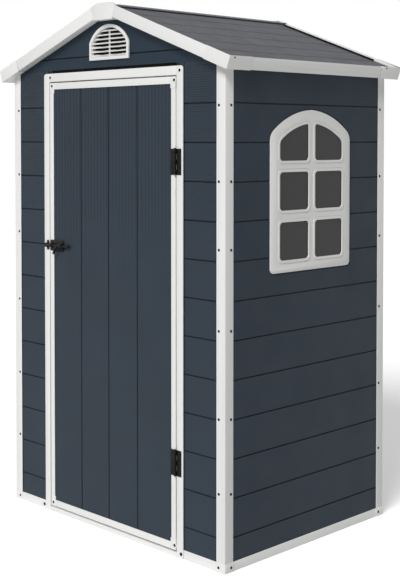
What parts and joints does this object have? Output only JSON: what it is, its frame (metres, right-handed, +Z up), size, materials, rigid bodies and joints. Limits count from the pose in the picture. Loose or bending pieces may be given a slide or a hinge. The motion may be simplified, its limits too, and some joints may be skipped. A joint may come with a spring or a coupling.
{
  "type": "small garden shed in moulded plastic boards",
  "caption": "Small garden shed in dark moulded plastic boards with white frame profiles, a hinged door with a slide bolt, an arched window and a low gable roof.",
  "frame": {"origin": "ground level, middle of the plan", "axes": "+Z up, door on the -Y side, window on the +X side"},
  "size_m": [1.3318, 0.984, 2.025],
  "materials": {
    "dark_panel": "matte moulded plastic, dark blue-grey",
    "white_trim": "satin white plastic profile",
    "roof_plastic": "matte grey plastic",
    "black_metal": "black coated steel",
    "tinted_pane": "dark tinted acrylic",
    "floor_plastic": "matte grey plastic"
  },
  "bodies": {
    "shed": {"front_panel_right": "dark_panel", "front_panel_left": "dark_panel", "front_gable_panel": "dark_panel", "left_wall_panel": "dark_panel", "right_wall_panel": "dark_panel", "rear_wall_panel": "dark_panel", "rear_gable_panel": "dark_panel", "base_rail_front": "white_trim", "base_rail_rear": "white_trim", "base_rail_left": "white_trim", "base_rail_right": "white_trim", "door_sill": "white_trim", "base_corner_blocks": "white_trim", "post_front_right": "white_trim", "post_front_left": "white_trim", "post_rear_right": "white_trim", "post_rear_left": "white_trim", "door_jamb_right": "white_trim", "door_jamb_left": "white_trim", "door_head": "white_trim", "window_frame": "white_trim", "gable_vent": "white_trim", "rake_trim_front": "white_trim", "rake_trim_rear": "white_trim", "peak_caps": "white_trim", "eave_trim_right": "white_trim", "eave_trim_left": "white_trim", "roof_corner_caps": "white_trim", "roof_panel_right": "roof_plastic", "roof_panel_left": "roof_plastic", "ridge_cap": "roof_plastic", "hinge_frame_plates": "black_metal", "hinge_pins": "black_metal", "bolt_keeper": "black_metal", "window_pane": "tinted_pane", "floor_panel": "floor_plastic"},
    "door": {"door_panel": "dark_panel", "door_stile_right": "white_trim", "door_stile_left": "white_trim", "door_rail_top": "white_trim", "door_rail_bottom": "white_trim", "door_corner_pieces": "white_trim", "hinge_door_plates": "black_metal", "bolt_housing": "black_metal"},
    "bolt": {"bolt_rod": "black_metal"}
  },
  "joints": [
    {"name": "door_hinge", "type": "hinge", "parent": "shed", "child": "door", "pos_m": [0.3685, -0.4657, 0.8795], "axis": [0, 0, 1], "range_deg": [0, 110]},
    {"name": "bolt_slide", "type": "slide", "parent": "door", "child": "bolt", "axis": [-1, 0, 0], "range_m": [0, 0.024]}
  ]
}
